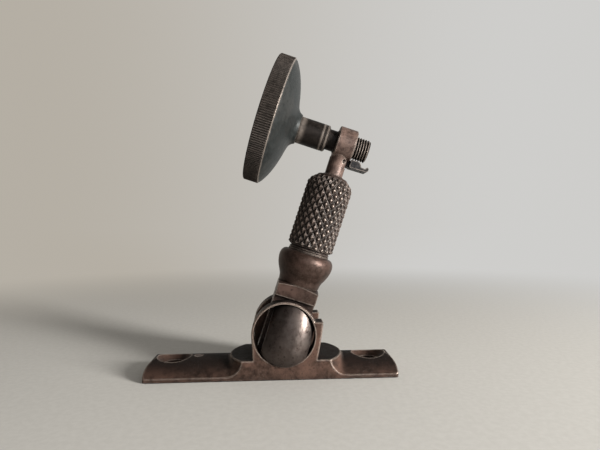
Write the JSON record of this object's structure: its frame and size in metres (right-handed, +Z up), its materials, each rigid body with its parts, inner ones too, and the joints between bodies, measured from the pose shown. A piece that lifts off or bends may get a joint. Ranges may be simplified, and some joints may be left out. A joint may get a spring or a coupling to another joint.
{
  "type": "folding peep sight",
  "caption": "Folding sight: a post on a two-screw base carries a knurled height sleeve, a slim stem with a threaded eye, and a serrated eyepiece disc that screws into it.",
  "frame": {"origin": "middle of the base's underside, midway between its two screw holes", "axes": "+X forward, from the eyepiece disc towards the threaded end; +Y to the far side, away from the domed pin head; +Z up from the base"},
  "size_m": [0.0492, 0.0262, 0.0642],
  "materials": {
    "base_steel": "browned steel, satin, bright worn edges",
    "post_steel": "browned steel, polished by handling",
    "pin_steel": "dark browned steel, smooth",
    "sleeve_steel": "browned steel, diamond knurl with bright worn tips",
    "washer_steel": "browned spring steel",
    "stem_steel": "reddish brown patina, satin",
    "disc_steel": "worn bluing over steel, satin, brown rim",
    "insert_steel": "matt black",
    "leaf_steel": "blue-black steel",
    "spring_steel": "blued spring steel",
    "screw_steel": "browned steel",
    "inner_steel": "plain oiled steel"
  },
  "bodies": {
    "base": {"base": "base_steel", "detent_spring": "spring_steel", "spring_screw": "screw_steel"},
    "post": {"post": "post_steel", "pivot_pin": "pin_steel", "pivot_washer": "spring_steel", "pivot_screw": "screw_steel", "guide_tube": "inner_steel", "snap_ring": "spring_steel", "friction_washer": "washer_steel"},
    "sleeve": {"knurled_sleeve": "sleeve_steel"},
    "stem": {"eyelet_stem": "stem_steel", "stem_guide": "inner_steel", "guide_screw": "screw_steel", "leaf_pin": "screw_steel"},
    "leaf": {"turn_down_leaf": "leaf_steel"},
    "disc_carrier": {"aperture_insert": "insert_steel"},
    "disc": {"eyepiece_disc": "disc_steel"}
  },
  "joints": [
    {"name": "post_fold", "type": "hinge", "parent": "base", "child": "post", "pos_m": [0.0025, 0, 0.0086], "axis": [0, 1, 0], "range_deg": [-84, 20], "deforming": ["detent_spring"]},
    {"name": "sleeve_turn", "type": "hinge", "parent": "post", "child": "sleeve", "pos_m": [0.01041, 0, 0.03232], "axis": [0.3165, 0, 0.9486], "range_deg": [-2345, 185]},
    {"name": "stem_rise", "type": "slide", "parent": "post", "child": "stem", "axis": [0.3165, 0, 0.9486], "range_m": [-0.00064, 0.00826]},
    {"name": "leaf_fold", "type": "hinge", "parent": "stem", "child": "leaf", "pos_m": [0.01498, 0, 0.04254], "axis": [0, 1, 0], "range_deg": [0, 12]},
    {"name": "disc_feed", "type": "slide", "parent": "stem", "child": "disc_carrier", "axis": [0.9486, 0, -0.3165], "range_m": [-0.00317, 0.00185]},
    {"name": "disc_turn", "type": "hinge", "parent": "disc_carrier", "child": "disc", "pos_m": [0.01508, 0, 0.04631], "axis": [0.9486, 0, -0.3165], "range_deg": [-2165, 1265]}
  ],
  "couplings": [
    {"joint": "sleeve_turn", "follows": "stem_rise", "rad_per_m": -4947.4},
    {"joint": "disc_turn", "follows": "disc_feed", "rad_per_m": 11877}
  ]
}
